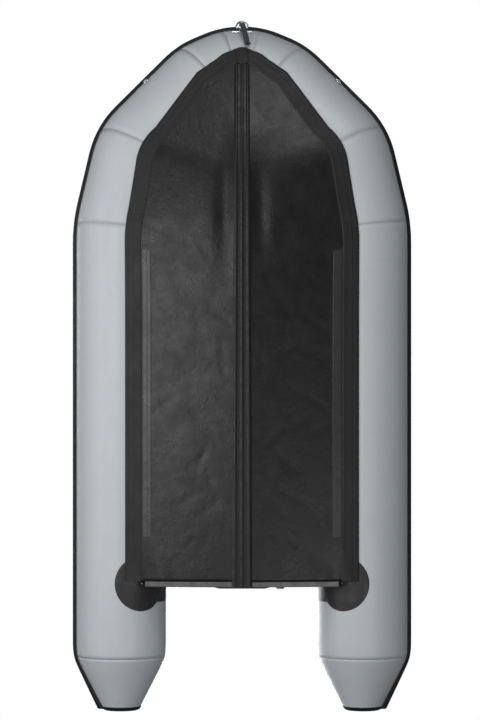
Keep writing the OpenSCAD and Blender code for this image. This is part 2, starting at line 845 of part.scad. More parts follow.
module valve_stem() {
    seal_t = 2.5;
    translate([0, 0, -9]) cylinder(r = 8, h = 7);
    translate([0, 0, web_z - gap - seal_t]) cylinder(r = guide_r, h = gap + seal_t - web_z - 8);
    translate([0, 0, web_z - gap - seal_t]) cylinder(r = mouth_r - 3, h = seal_t);
}

module valve_stem_port() { color("silver") place() valve_frame_side() valve_stem(); }
module valve_stem_starboard() { color("silver") place() starboard() valve_frame_side() valve_stem(); }
module valve_stem_keel() { color("silver") place() valve_frame_keel() valve_stem(); }

module valve_cap() {
    translate([0, 0, 1]) cylinder(r = mouth_r - pin_clear, h = 6);
    translate([0, 0, 4 + gap / 2]) cylinder(r = mouth_r + 9, h = 5);
    translate([-mouth_r, -4, 8]) cube([2 * mouth_r, 8, 8]);
}

module valve_cap_port() { color(BLACK) place() valve_frame_side() valve_cap(); }
module valve_cap_starboard() { color(BLACK) place() starboard() valve_frame_side() valve_cap(); }
module valve_cap_keel() { color(BLACK) place() valve_frame_keel() valve_cap(); }

// ---- Tow rings

// Local X points out of the tube, Y up round it and Z forward along it
module on_cheek() {
    translate(lerp(AXIS[2], AXIS[3], tow_share)) facing(heading(2)) rotate([0, 0, tow_angle]) children();
}

module tow_patches() {
    loop_w = 14;
    eye = tow_wire / 2 + pin_clear;
    fabric(GREY) port_and_starboard() on_cheek() difference() {
        union() {
            intersection() {
                translate([0, 0, -80]) cylinder(r = tube_r + glue + 1.3, h = 160);
                rotate([0, 90, 0]) cylinder(r = 64, h = tube_d);
                translate([0, -tube_r, -80]) cube([tube_d, tube_r + tube_r * sin(9), 160]);
            }
            translate([tube_r - 2, -eye - 3, -loop_w / 2]) cube([13 + eye, 2 * eye + 6, loop_w]);
        }
        translate([0, 0, -100]) cylinder(r = tube_r + glue, h = 200);
        translate([tow_lift, 0, -50]) cylinder(r = eye, h = 100);
    }
}

module tow_ring() {
    on_cheek() translate([tow_lift, 0, 0]) {
        translate([0, 0, -tow_r]) cylinder(r = tow_wire / 2, h = 2 * tow_r);
        rotate([0, 90, 0]) rotate(180) rotate_extrude(angle = 180)
            translate([tow_r, 0]) circle(r = tow_wire / 2);
    }
}

module tow_ring_port() { color(STEEL) place() tow_ring(); }
module tow_ring_starboard() { color(STEEL) place() starboard() tow_ring(); }

// ---- Bow fittings

module at_bar() {
    translate([bar_x, 0, bar_z]) children();
}

// Saddle plate with a wide wire bail and the barrel that holds the ring's bar
module bow_bracket() {
    bail_y = bracket_w / 2;
    bail_out = tube_r + bow_wire / 2 + 1;
    bail = [bow_x + bail_out * cos(bail_down) - bar_x, bow_z - bail_out * sin(bail_down) - bar_z];
    color(STEEL) place() difference() {
        union() {
            translate([bow_x, 0, bow_z]) rotate([0, bar_down + 4, 0])
                translate([tube_r - 6, -30, -24]) cube([10, 60, 40]);
            at_bar() rotate([90, 0, 0]) cylinder(r = bow_wire / 2 + 4.5, h = 26, center = true);
            at_bar() rotate([0, 180 + bar_down, 0]) translate([0, -10, -4]) cube([16, 20, 8]);
            at_bar() tube_segment([bail[0], -bail_y, bail[1]], [bail[0], bail_y, bail[1]], bow_wire / 2);
            for (side = [-1, 1]) at_bar()
                tube_segment([bail[0], side * (bail_y - bow_wire), bail[1]],
                    [bail[0] + 11, side * 12, bail[1] + 29], bow_wire * 0.4);
        }
        translate([bow_x, 60, bow_z]) rotate([90, 0, 0]) cylinder(r = tube_r + glue, h = 120, $fn = 360);
        at_bar() rotate([90, 0, 0]) cylinder(r = bow_wire / 2 + pin_clear, h = 100, center = true);
    }
}

module bow_ring() {
    color(STEEL) place() at_bar() {
        rotate([90, 0, 0]) cylinder(r = bow_wire / 2, h = 2 * bow_ring_r, center = true);
        rotate(-90) rotate_extrude(angle = 180) translate([bow_ring_r, 0]) circle(r = bow_wire / 2);
    }
}

STRAP_SIDES = 10;
function strap_ahead(k) = unit(STRAP[min(k + 1, len(STRAP) - 1)] - STRAP[max(k - 1, 0)]);
function strap_ring(k) =
    let (t = strap_ahead(k), n = unit(cross(t, [0, 1, 0])), w = cross(n, t))
    [for (j = [0:STRAP_SIDES - 1])
        let (a = 360 * j / STRAP_SIDES)
        STRAP[k] + w * cos(a) * strap_w / 2 + n * sin(a) * strap_t / 2];

module bow_strap() {
    color(BLACK) place() at_bar() sweep([for (k = [0:len(STRAP) - 1]) strap_ring(k)]);
}

// ---- Grab lines

module on_side() {
    translate([0, half_gap, axis_z]) facing([1, 0, 0]) rotate([0, 0, line_angle]) children();
}

module grab_lines() {
    color(BLACK) place() port_and_starboard() on_side() translate([line_lift, 0, line_x - 40])
        cylinder(r = line_d / 2, h = guide_step * (guides - 1) + 80);
}

module line_guides() {
    color(BLACK) place() port_and_starboard() on_side() for (k = [0:guides - 1])
        translate([0, 0, line_x + k * guide_step]) difference() {
            union() {
                intersection() {
                    translate([0, 0, -40]) cylinder(r = tube_r + 1.5, h = 80);
                    rotate([0, 90, 0]) cylinder(r = 34, h = tube_d);
                }
                translate([tube_r - 4, -9, -14]) cube([line_lift - tube_r + line_d / 2 + 7, 18, 28]);
            }
            translate([0, 0, -50]) cylinder(r = tube_r + glue, h = 100);
            translate([line_lift, 0, -50]) cylinder(r = line_d / 2 + glue, h = 100);
        }
}

side_tube_port();
side_tube_starboard();
shoulder_port();
shoulder_starboard();
cheek_port();
cheek_starboard();
bow_panel();
tail_cone_port();
tail_cone_starboard();
end_cap_port();
end_cap_starboard();
baffles();
rub_strake_port();
rub_strake_starboard();
bottom_skin_port();
bottom_skin_starboard();
chine_tape_port();
chine_tape_starboard();
wear_strips();
air_keel();
keel_guard();
keel_nose_patch();
transom_board();
transom_holder_port();
transom_holder_starboard();
outer_motor_pad();
inner_motor_pad();
pad_screws();
drain_socket();
drain_plug();
floorboard_aft();
floorboard_middle();
floorboard_fore();
floor_joiners();
floor_stringers();
seat_tracks();
seat_board_aft();
seat_channels_aft();
seat_board_fore();
seat_channels_fore();
rowlock_base_port();
rowlock_base_starboard();
rowlock_port();
rowlock_starboard();
valve_bodies();
valve_stem_port();
valve_stem_starboard();
valve_stem_keel();
valve_cap_port();
valve_cap_starboard();
valve_cap_keel();
tow_patches();
tow_ring_port();
tow_ring_starboard();
bow_bracket();
bow_ring();
bow_strap();
grab_lines();
line_guides();
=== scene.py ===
"""Inflatable dinghy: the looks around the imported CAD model, in metres, seen from below with the bow up."""
import json
import math
import random

import bmesh
import bpy
import numpy as np
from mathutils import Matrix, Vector


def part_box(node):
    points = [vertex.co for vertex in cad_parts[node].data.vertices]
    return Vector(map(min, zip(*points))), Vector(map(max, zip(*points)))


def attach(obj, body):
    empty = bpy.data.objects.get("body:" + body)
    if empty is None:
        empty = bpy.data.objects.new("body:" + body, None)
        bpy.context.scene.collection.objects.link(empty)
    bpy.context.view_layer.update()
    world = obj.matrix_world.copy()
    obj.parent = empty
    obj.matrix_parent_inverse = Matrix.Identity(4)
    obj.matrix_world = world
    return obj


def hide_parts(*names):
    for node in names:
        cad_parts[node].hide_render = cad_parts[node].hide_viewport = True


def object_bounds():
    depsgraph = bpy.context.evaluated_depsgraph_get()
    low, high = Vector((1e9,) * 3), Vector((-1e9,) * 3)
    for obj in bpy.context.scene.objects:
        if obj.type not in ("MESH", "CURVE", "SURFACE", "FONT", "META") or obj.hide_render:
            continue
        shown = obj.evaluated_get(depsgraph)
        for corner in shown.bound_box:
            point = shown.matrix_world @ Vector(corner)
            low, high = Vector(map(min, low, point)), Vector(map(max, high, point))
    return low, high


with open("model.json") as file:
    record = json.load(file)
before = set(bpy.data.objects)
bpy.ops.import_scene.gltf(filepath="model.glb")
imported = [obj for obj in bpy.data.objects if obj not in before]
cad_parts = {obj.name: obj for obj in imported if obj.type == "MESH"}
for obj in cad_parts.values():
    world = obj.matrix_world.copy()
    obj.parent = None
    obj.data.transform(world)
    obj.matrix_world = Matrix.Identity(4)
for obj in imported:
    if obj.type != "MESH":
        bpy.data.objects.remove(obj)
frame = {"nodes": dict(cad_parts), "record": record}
cad_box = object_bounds()
nodes = frame["nodes"]

# ---- Driving dimensions of the boat, and the path of its tube

TAIL = cad_box[0].x
TUBE_R = 0.215
SIDE_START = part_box("side_tube_port")[0].x
AXIS_Y = (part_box("tail_cone_port")[0].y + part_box("tail_cone_port")[1].y) / 2
AXIS_Z = (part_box("tail_cone_port")[0].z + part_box("tail_cone_port")[1].z) / 2
SIDE_LEN = 2.054
PANEL_SIDE = {"shoulder": 0.300, "quarter": 0.056, "bow": 0.006}
TURNS = (13, 31, 22, 24)
CORNER_RADII = (0.60, 0.26, 0.24, 0.235)
BOW_RISE = 0.190
RISE = (0, 0, 0.2, 0.84, 1)

PANEL_T = 0.0012
CONE_LEN = 0.250
CONE_END_R = 0.087
CONE_ROUNDING = 0.009
CAP_T = 0.008

TAPE_HALF = 0.021
TAPE_LIFT = 0.0004
LONG_SEAM = math.radians(-35)
LONG_SEAM_HALF = math.radians(5)

SKIN_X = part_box("bottom_skin_port")[0].x
SKIN_R = TUBE_R + 0.0046
SKIN_T = 0.003
KEEL_Z = 0.006
LEAVE = (-7, -7, 0, 17, 28, 32)
CHINE_W = 0.080
CHINE_T = 0.002
GUARD_T = 0.006
GUARD_WIDE, GUARD_NARROW = 0.096, 0.072


def panel_lengths():
    """Lengths of the five stretches of the tube's axis on one side, from the lengths of the panels."""
    turns = [math.radians(t) for t in TURNS]
    heads = np.cumsum(turns)
    shoulder = PANEL_SIDE["shoulder"] + TUBE_R * (math.tan(turns[0] / 2) + math.tan(turns[1] / 2))
    quarter = PANEL_SIDE["quarter"] + TUBE_R * (math.tan(turns[2] / 2) + math.tan(turns[3] / 2))
    bow_half = PANEL_SIDE["bow"] + TUBE_R * math.tan(turns[3] / 2)
    across = AXIS_Y - bow_half - quarter * math.sin(heads[2]) - shoulder * math.sin(heads[0])
    return heads, [SIDE_LEN, shoulder, across / math.sin(heads[1]), quarter]


def axis_points():
    heads, lengths = panel_lengths()
    plan = [np.array([SIDE_START, AXIS_Y])]
    for head, length in zip([0, *heads[:3]], lengths):
        plan.append(plan[-1] + length * np.array([math.cos(head), -math.sin(head)]))
    points = [np.array([p[0], p[1], AXIS_Z + BOW_RISE * r]) for p, r in zip(plan, RISE)]
    return points + [points[-1] * [1, -1, 1]]


AXIS = axis_points()
BOW = np.array([AXIS[4][0], 0, AXIS[4][2]])
TANGENT = [0] + [r * math.tan(math.radians(t) / 2) for r, t in zip(CORNER_RADII, TURNS)]
TANGENT.append(TANGENT[-1])


def corner(k, along):
    """Rounded corner k of the axis; along runs from 0 to 1 through it."""
    before = AXIS[k] + (AXIS[k - 1] - AXIS[k]) / np.linalg.norm(AXIS[k - 1] - AXIS[k]) * TANGENT[k]
    ahead = AXIS[k + 1] if k < 5 else AXIS[3] * [1, -1, 1]
    after = AXIS[k] + (ahead - AXIS[k]) / np.linalg.norm(ahead - AXIS[k]) * TANGENT[k]
    return (1 - along) ** 2 * before + 2 * along * (1 - along) * AXIS[k] + along ** 2 * after


def axis_at(q):
    """Point of the rounded axis: whole numbers of q are its corners, and 4.5 is the bow."""
    i = min(int(q), 4)
    length = np.linalg.norm(AXIS[i + 1] - AXIS[i])
    gone = (q - i) * length
    if i > 0 and gone < TANGENT[i]:
        return corner(i, 0.5 + 0.5 * gone / TANGENT[i])
    if gone > length - TANGENT[i + 1]:
        return corner(i + 1, 0.5 * (gone - length + TANGENT[i + 1]) / TANGENT[i + 1])
    return AXIS[i] + (AXIS[i + 1] - AXIS[i]) * (q - i)


def axes_at(q):
    """Directions along the tube, outboard and down round it."""
    step = 1e-3
    ahead = axis_at(min(q + step, 4.999)) - axis_at(max(q - step, 0))
    along = ahead / np.linalg.norm(ahead)
    out = np.array([-along[1], along[0], 0])
    out /= np.linalg.norm(out)
    return along, out, np.cross(out, along)


def on_tube(q, angle, radius):
    """Point beside the axis, at an angle from straight down towards outboard."""
    _, out, down = axes_at(q)
    return axis_at(q) + radius * (math.cos(angle) * down + math.sin(angle) * out)


def path_at_x(x):
    """Where on the straight side tube a place along the boat is."""
    return (x - SIDE_START) / SIDE_LEN


def smooth(edge0, edge1, value):
    t = np.clip((value - edge0) / (edge1 - edge0), 0, 1)
    return t * t * (3 - 2 * t)


def cone_line(x):
    """Radius of the straight cone from its cap towards the side tube."""
    return CONE_END_R + (TUBE_R - CONE_END_R) * (x - SIDE_START + CONE_LEN) / CONE_LEN


def hull_radius(x):
    """Radius of the side tube and its cone, rounded into each other over a hand's width."""
    k = CONE_ROUNDING
    return -k * math.log(math.exp(-TUBE_R / k) + math.exp(-cone_line(x) / k))


# ---- Mesh building

def mesh_piece(name, points, faces, mat, sharp=35):
    mesh = bpy.data.meshes.new(name)
    mesh.from_pydata([tuple(p) for p in points], [], faces)
    mesh.validate()
    mesh.polygons.foreach_set("use_smooth", [True] * len(mesh.polygons))
    mesh.set_sharp_from_angle(angle=math.radians(sharp))
    mesh.materials.append(mat)
    piece = bpy.data.objects.new(name, mesh)
    bpy.context.scene.collection.objects.link(piece)
    return piece


def grid_faces(rows, columns, wrap):
    last = columns if wrap else columns - 1
    return [
        (i * columns + k, i * columns + (k + 1) % columns,
         (i + 1) * columns + (k + 1) % columns, (i + 1) * columns + k)
        for i in range(rows - 1) for k in range(last)
    ]


def flipped(points, faces, side):
    """The starboard half is the port half mirrored."""
    if side > 0:
        return points, faces
    return [np.array(p) * [1, -1, 1] for p in points], [tuple(reversed(f)) for f in faces]


def swept(name, rings, mat, side=1, caps=True, sharp=35):
    """Skins closed rings into one closed piece."""
    rows, columns = len(rings), len(rings[0])
    points = [p for ring in rings for p in ring]
    faces = grid_faces(rows, columns, True)
    if caps:
        faces.append(tuple(reversed(range(columns))))
        faces.append(tuple(range((rows - 1) * columns, rows * columns)))
    points, faces = flipped(points, faces, side)
    piece = mesh_piece(name, points, faces, mat, sharp)
    fix_normals(piece)
    return piece


def fix_normals(piece):
    shape = bmesh.new()
    shape.from_mesh(piece.data)
    bmesh.ops.recalc_face_normals(shape, faces=shape.faces)
    shape.to_mesh(piece.data)
    shape.free()


def shell(name, rows, mat, side, wrap, thickness, offset=-1):
    """A grid of points given a thickness."""
    points = [p for row in rows for p in row]
    faces = grid_faces(len(rows), len(rows[0]), wrap)
    points, faces = flipped(points, faces, side)
    piece = mesh_piece(name, points, faces, mat, 50)
    wall = piece.modifiers.new("wall", "SOLIDIFY")
    wall.thickness = thickness
    wall.offset = offset
    return piece


def place(piece, body, slot, *replaced):
    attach(piece, body)
    if replaced:
        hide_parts(*replaced)


# ---- Materials

class Surface:
    """A Principled material with procedural colour, roughness and bump in the object's own metres."""

    def __init__(self, name, color, rough, **sockets):
        self.mat = bpy.data.materials.new(name)
        self.mat.use_nodes = True
        self.tree = self.mat.node_tree
        self.shader = self.tree.nodes["Principled BSDF"]
        self.shader.inputs["Base Color"].default_value = (*color, 1)
        self.shader.inputs["Roughness"].default_value = rough
        for key, value in sockets.items():
            self.shader.inputs[key.replace("_", " ")].default_value = value
        self.place = self.tree.nodes.new("ShaderNodeTexCoord").outputs["Object"]
        self.height = None

    def node(self, kind, **inputs):
        made = self.tree.nodes.new(kind)
        for key, value in inputs.items():
            socket = made.inputs[key.replace("_", " ")]
            if isinstance(value, bpy.types.NodeSocket):
                self.tree.links.new(value, socket)
            else:
                socket.default_value = value
        return made

    def stretched(self, scale):
        mapping = self.node("ShaderNodeMapping", Vector=self.place, Scale=scale)
        return mapping.outputs["Vector"]

    def noise(self, scale, detail=3, rough=0.55, stretch=(1, 1, 1)):
        made = self.node("ShaderNodeTexNoise", Vector=self.stretched(stretch), Scale=scale,
                         Detail=detail, Roughness=rough)
        return made.outputs["Fac"]

    def wave(self, scale, direction, distortion=0.0, stretch=(1, 1, 1)):
        made = self.node("ShaderNodeTexWave", Vector=self.stretched(stretch), Scale=scale,
                         Distortion=distortion)
        made.bands_direction = direction
        return made.outputs["Fac"]

    def math(self, operation, a, b=0.0):
        made = self.tree.nodes.new("ShaderNodeMath")
        made.operation = operation
        for socket, value in zip(made.inputs, (a, b)):
            if isinstance(value, bpy.types.NodeSocket):
                self.tree.links.new(value, socket)
            else:
                socket.default_value = value
        return made.outputs[0]

    def ranged(self, value, low, high, to_low, to_high):
        made = self.node("ShaderNodeMapRange", Value=value)
        for key, number in zip(("From Min", "From Max", "To Min", "To Max"), (low, high, to_low, to_high)):
            made.inputs[key].default_value = number
        return made.outputs["Result"]

    def tint(self, factor, other):
        """Mixes the colour so far with another one."""
        base = self.shader.inputs["Base Color"]
        made = self.tree.nodes.new("ShaderNodeMix")
        made.data_type = "RGBA"
        self.tree.links.new(factor, made.inputs[0])
        if base.is_linked:
            self.tree.links.new(base.links[0].from_socket, made.inputs[6])
        else:
            made.inputs[6].default_value = base.default_value
        made.inputs[7].default_value = (*other, 1)
        self.tree.links.new(made.outputs[2], base)
        return self

    def roughness(self, factor, low, high):
        self.tree.links.new(self.ranged(factor, 0.3, 0.7, low, high), self.shader.inputs["Roughness"])
        return self

    def bump(self, height, distance, strength=1.0):
        """Adds relief: distance is its depth in metres."""
        made = self.node("ShaderNodeBump", Height=height, Distance=distance, Strength=strength)
        normal = self.shader.inputs["Normal"]
        if normal.is_linked:
            self.tree.links.new(normal.links[0].from_socket, made.inputs["Normal"])
        self.tree.links.new(made.outputs["Normal"], normal)
        return self

    def weave(self, pitch, depth):
        """Crossed threads of a coated fabric, along and round the tube."""
        threads = self.math("MULTIPLY", self.wave(0.314 / pitch, "X"),
                            self.wave(0.314 / pitch, "DIAGONAL"))
        return self.bump(threads, depth, 0.5)


def grey_fabric():
    s = Surface("grey_pvc", (0.475, 0.505, 0.525), 0.5, Specular_IOR_Level=0.42, Coat_Weight=0.06,
                Coat_Roughness=0.35)
    s.tint(s.ranged(s.noise(5, 4, 0.6), 0.35, 0.7, 0, 0.3), (0.445, 0.475, 0.497))
    s.tint(s.ranged(s.noise(60, 5, 0.65), 0.5, 0.75, 0, 0.14), (0.62, 0.65, 0.68))
    s.tint(s.ranged(s.noise(9, 6, 0.75, (0.25, 1, 1)), 0.58, 0.74, 0, 0.22), (0.36, 0.38, 0.395))
    s.roughness(s.noise(14, 4), 0.40, 0.56)
    s.bump(s.noise(7, 3, 0.5), 0.0016)
    s.bump(s.noise(240, 3, 0.6), 0.00022)
    return s.weave(0.0016, 0.00012).mat


def black_fabric(name, color, rough_low, rough_high, wrinkle=0.0022):
    s = Surface(name, color, rough_low, Specular_IOR_Level=0.3)
    s.tint(s.ranged(s.noise(3.5, 4, 0.6), 0.4, 0.7, 0, 0.5), [c * 1.35 for c in color])
    s.tint(s.ranged(s.noise(90, 4, 0.7), 0.55, 0.75, 0, 0.12), [min(1, c * 2.6 + 0.01) for c in color])
    s.roughness(s.noise(11, 5, 0.6), rough_low, rough_high)
    folds = s.ranged(s.noise(10, 5, 0.7, (0.8, 1, 1)), 0.46, 0.56, 0, 1)
    s.bump(s.noise(5, 3, 0.5), wrinkle)
    s.bump(folds, wrinkle * 0.28, 0.6)
    s.bump(s.noise(260, 3, 0.6), 0.0002)
    return s.weave(0.0014, 0.00012).mat


def rubber(name, color, rough):
    s = Surface(name, color, rough, Specular_IOR_Level=0.3)
    s.tint(s.ranged(s.noise(30, 5, 0.7), 0.5, 0.72, 0, 0.3), [c * 2 + 0.004 for c in color])
    s.roughness(s.noise(22, 4), rough - 0.08, rough + 0.12)
    s.bump(s.noise(420, 3, 0.6), 0.00025)
    return s.bump(s.noise(12, 3, 0.5), 0.0008).mat


def plastic(name, color, rough):
    s = Surface(name, color, rough, Specular_IOR_Level=0.5)
    s.tint(s.ranged(s.noise(80, 4, 0.6), 0.5, 0.72, 0, 0.3), [c * 1.6 + 0.008 for c in color])
    s.roughness(s.noise(45, 4), rough - 0.07, rough + 0.1)
    return s.bump(s.noise(900, 2, 0.6), 0.00018).mat


def plywood(name, face, grain, edge, coat):
    """Face veneer along the boat, and stacked plies where an edge shows."""
    s = Surface(name, face, 0.38, Specular_IOR_Level=0.5, Coat_Weight=coat, Coat_Roughness=0.18)
    lines = s.noise(9, 8, 0.72, (0.35, 9, 3))
    rings = s.wave(1.4, "Y", 9.0, (0.12, 1.6, 1))
    s.tint(s.ranged(lines, 0.4, 0.68, 0, 0.75), grain)
    s.tint(s.ranged(rings, 0.55, 0.95, 0, 0.45), grain)
    s.tint(s.ranged(s.noise(3, 3), 0.45, 0.7, 0, 0.35), [c * 0.8 for c in face])
    upright = s.math("ABSOLUTE", s.node("ShaderNodeSeparateXYZ",
                                        Vector=s.tree.nodes.new("ShaderNodeNewGeometry").outputs["Normal"]
                                        ).outputs["Z"])
    side = s.ranged(upright, 0.3, 0.6, 1, 0)
    plies = s.ranged(s.wave(95, "Z"), 0.45, 0.55, 0, 1)
    s.tint(s.math("MULTIPLY", side, plies), edge)
    s.roughness(s.noise(25, 5), 0.3, 0.48)
    return s.bump(lines, 0.0004, 0.7).mat


def metal(name, color, rough, brushed):
    s = Surface(name, color, rough, Metallic=1.0)
    fine = s.noise(60, 4, 0.6, (0.15, 6, 6) if brushed else (1, 1, 1))
    s.tint(s.ranged(fine, 0.45, 0.75, 0, 0.35), [c * 0.72 for c in color])
    s.roughness(fine, rough, rough + 0.16)
    return s.bump(fine, 0.00008).mat


def braid(name, color, pitch):
    s = Surface(name, color, 0.72, Specular_IOR_Level=0.35, Sheen_Weight=0.25)
    strand_relief_and_highlight = s.math("MAXIMUM", s.wave(0.314 / pitch, "DIAGONAL"),
                     s.wave(0.314 / pitch, "DIAGONAL", 0, (1, -1, -1)))
    # Painted highlight: the raised crowns of the strands are painted lighter than the grooves between them,
    # so the grooves carry painted shade.
    s.tint(s.ranged(strand_relief_and_highlight, 0.5, 1, 0, 0.6), [c * 3.2 + 0.02 for c in color])
    s.roughness(s.noise(300, 3), 0.6, 0.85)
    return s.bump(strand_relief_and_highlight, 0.0007).mat


GREY = grey_fabric()
BOTTOM = black_fabric("black_pvc", (0.0085, 0.0078, 0.0088), 0.30, 0.44)
TAPE = black_fabric("black_tape", (0.0125, 0.0118, 0.0128), 0.5, 0.62, 0.0012)
PATCH = black_fabric("black_patch", (0.022, 0.0205, 0.0225), 0.34, 0.46, 0.004)
RUBBER = rubber("black_rubber", (0.006, 0.006, 0.0065), 0.55)
GUARD = rubber("guard_rubber", (0.009, 0.0088, 0.0095), 0.42)
MOULDED = plastic("black_plastic", (0.016, 0.016, 0.017), 0.42)
PALE = plastic("grey_plastic", (0.32, 0.34, 0.36), 0.4)
TRANSOM = plywood("painted_ply", (0.095, 0.095, 0.097), (0.045, 0.045, 0.046), (0.09, 0.085, 0.08), 0.1)
BOARDS = plywood("varnished_ply", (0.50, 0.30, 0.145), (0.30, 0.155, 0.065), (0.20, 0.11, 0.05), 0.55)
ALLOY = metal("brushed_alloy", (0.70, 0.71, 0.73), 0.28, True)
STEEL = metal("polished_steel", (0.66, 0.67, 0.69), 0.10, False)
BRAID = braid("black_braid", (0.014, 0.014, 0.015), 0.004)
WEAR = black_fabric("worn_black", (0.030, 0.028, 0.0298), 0.25, 0.38, 0.0018)

# ---- Camera, looking straight up at the bottom, with the bow at the top of the picture

VIEW_HEIGHT = 3.456
CAMERA_DISTANCE = 16.0
CAMERA_AIM = (0.019, -0.0096)
SENSOR = 36.0

camera = bpy.data.objects.new("camera", bpy.data.cameras.new("camera"))
bpy.context.scene.collection.objects.link(camera)
camera.data.sensor_width = SENSOR
camera.data.lens = SENSOR * CAMERA_DISTANCE / VIEW_HEIGHT
camera.data.clip_end = 100
camera.location = (*CAMERA_AIM, AXIS_Z - CAMERA_DISTANCE)
camera.rotation_euler = (math.pi, 0, math.pi / 2)
bpy.context.scene.camera = camera

# ---- Bow strap, the one free cord, and the knot at its end

BOW_RING_OUT = 0.032
BAR_OUT = TUBE_R + 0.017
BAR_DOWN = math.radians(16)
BAR_Z = round(float(BOW[2] - BAR_OUT * math.sin(BAR_DOWN)), 6)
BAR = np.array([cad_box[1].x - BOW_RING_OUT, 0, BAR_Z])
STRAP_ROUTE = [(0.014, -0.002, 0.020), (0.014, -0.002, 0.008), (0.014, -0.002, -0.008),
               (0.015, -0.001, -0.030), (0.010, 0.001, -0.056), (-0.003, 0.005, -0.080),
               (-0.023, 0.010, -0.101), (-0.047, 0.016, -0.115), (-0.068, 0.021, -0.123),
               (-0.082, 0.024, -0.127)]
STRAP_W = 0.026
STRAP_T = 0.009


def through(points, steps):
    """A smooth curve through the points, with some steps between each two."""
    p = [np.array(x, float) for x in points]
    p = [2 * p[0] - p[1], *p, 2 * p[-1] - p[-2]]
    made = []
    for a, b, c, d in zip(p, p[1:], p[2:], p[3:]):
        for t in np.arange(steps) / steps:
            made.append(0.5 * (2 * b + (c - a) * t + (2 * a - 5 * b + 4 * c - d) * t ** 2
                               + (3 * b - a - 3 * c + d) * t ** 3))
    return [*made, p[-2]]


def band_rings(path, width, thick, sides=20, across=(0, 1, 0), boxy=0.6):
    """Flat rounded cross-sections along a path."""
    rings = []
    for k, point in enumerate(path):
        t = path[min(k + 1, len(path) - 1)] - path[max(k - 1, 0)]
        t /= np.linalg.norm(t)
        n = np.cross(t, across)
        n /= np.linalg.norm(n)
        w = np.cross(n, t)
        ring = []
        for a in np.arange(sides) / sides * 2 * math.pi:
            c, s = math.cos(a), math.sin(a)
            ring.append(point + w * width / 2 * math.copysign(abs(c) ** boxy, c)
                        + n * thick / 2 * math.copysign(abs(s) ** boxy, s))
        rings.append(ring)
    return rings


def bow_strap():
    path = through([BAR + p for p in STRAP_ROUTE], 5)
    strap = swept("strap_webbing", band_rings(path, STRAP_W, STRAP_T), BRAID)
    end, turn = path[-1], path[-1] - path[-2]
    turn /= np.linalg.norm(turn)
    up = np.cross(turn, (0, 1, 0))
    loops = []
    for a in np.arange(72) / 72 * 2 * math.pi:
        ring = 1 + 0.5 * math.cos(3 * a)
        loops.append(end + turn * (0.008 + 0.0052 * math.sin(3 * a))
                     + np.array((0, 1, 0)) * 0.0085 * ring * math.cos(2 * a)
                     + up * 0.0075 * ring * math.sin(2 * a))
    rings = band_rings(loops + loops[:1], 0.008, 0.008, 12, boxy=1)
    knot = swept("strap_knot", rings, BRAID, caps=False)
    place(strap, "hull", "black_braid", "bow_strap")
    place(knot, "hull", "black_braid")


bow_strap()

# ---- Tubes: glued panels with raised seams

TUBE_SIDES = 128
SIDE_SEAM_X = TAIL + 2.174
SEAM_QS = (0, path_at_x(SIDE_SEAM_X), 1, 2, 3, 4)


def stretch_samples(q0, q1):
    """Where the rings of a panel stand: even steps, closer at corners and on both edges of each seam."""
    length = {i: float(np.linalg.norm(AXIS[i + 1] - AXIS[i])) for i in range(5)}
    places = set(np.linspace(q0, q1, max(3, int((q1 - q0) * length[int(q0)] / 0.022))))
    for seam in SEAM_QS:
        for side in (-1, 1):
            for off in (0, TAPE_HALF - 0.002, TAPE_HALF, TAPE_HALF + 0.0015):
                i = min(4, int(max(q0, 0)))
                q = seam + side * off / length[i]
                if q0 <= q <= q1:
                    places.add(q)
    return sorted(places)


def seam_lift(q, length):
    near = min(abs(q - seam) * length for seam in SEAM_QS)
    return TAPE_LIFT * (1 - smooth(TAPE_HALF - 0.001, TAPE_HALF + 0.001, near))


def pucker(q, angle, length):
    """Gathers on the cockpit side of each bend, and a slight pinch at each seam."""
    total = 0.0
    for k, turn in zip((1, 2, 3, 4), TURNS):
        gone = (q - k) * length
        inner = max(0.0, -math.sin(angle)) ** 2
        outer = max(0.0, math.sin(angle)) ** 2
        ripple = math.sin(11 * angle + k) * 0.5 + math.sin(23 * angle + 2.1 * k) * 0.35
        total += turn / 31 * math.exp(-(gone / 0.06) ** 2) * ((0.0002 + 0.0016 * inner) * ripple
                                                              - 0.0003 * (1 - outer))
    return total


def tube_ring(q):
    i = min(int(q), 4)
    length = float(np.linalg.norm(AXIS[i + 1] - AXIS[i]))
    radius = hull_radius(axis_at(q)[0]) if q < 1 else TUBE_R
    ring = []
    for a in np.arange(TUBE_SIDES) / TUBE_SIDES * 2 * math.pi:
        off = (a - LONG_SEAM + math.pi) % (2 * math.pi) - math.pi
        lift = seam_lift(q, length) + pucker(q, a, length)
        lift += TAPE_LIFT * (1 - smooth(LONG_SEAM_HALF * 0.9, LONG_SEAM_HALF * 1.1, abs(off)))
        ring.append(on_tube(q, a, radius + lift))
    return ring


def tube_panel(name, q0, q1, side, *replaced):
    rows = [tube_ring(q) for q in stretch_samples(q0, q1)]
    place(shell(name, rows, GREY, side, True, PANEL_T), "hull", "grey_fabric", *replaced)


SIDES = {"port": 1, "starboard": -1}
for side_name, side in SIDES.items():
    tube_panel(f"side_panel_{side_name}", 0, 1, side, f"side_tube_{side_name}")
    tube_panel(f"shoulder_panel_{side_name}", 1, 2, side, f"shoulder_{side_name}")
    tube_panel(f"cheek_panel_{side_name}", 2, 3, side, f"cheek_{side_name}")
    tube_panel(f"bow_quarter_{side_name}", 3, 4, side, *(["bow_panel"] if side > 0 else []))


def bow_gore():
    half = [tube_ring(q) for q in np.linspace(4, 4.5, 9)]
    rest = [[p * [1, -1, 1] for p in ring] for ring in reversed(half[:-1])]
    place(shell("bow_gore", half + rest, GREY, 1, True, PANEL_T), "hull", "grey_fabric")


bow_gore()

# ---- Tail cones and their moulded caps


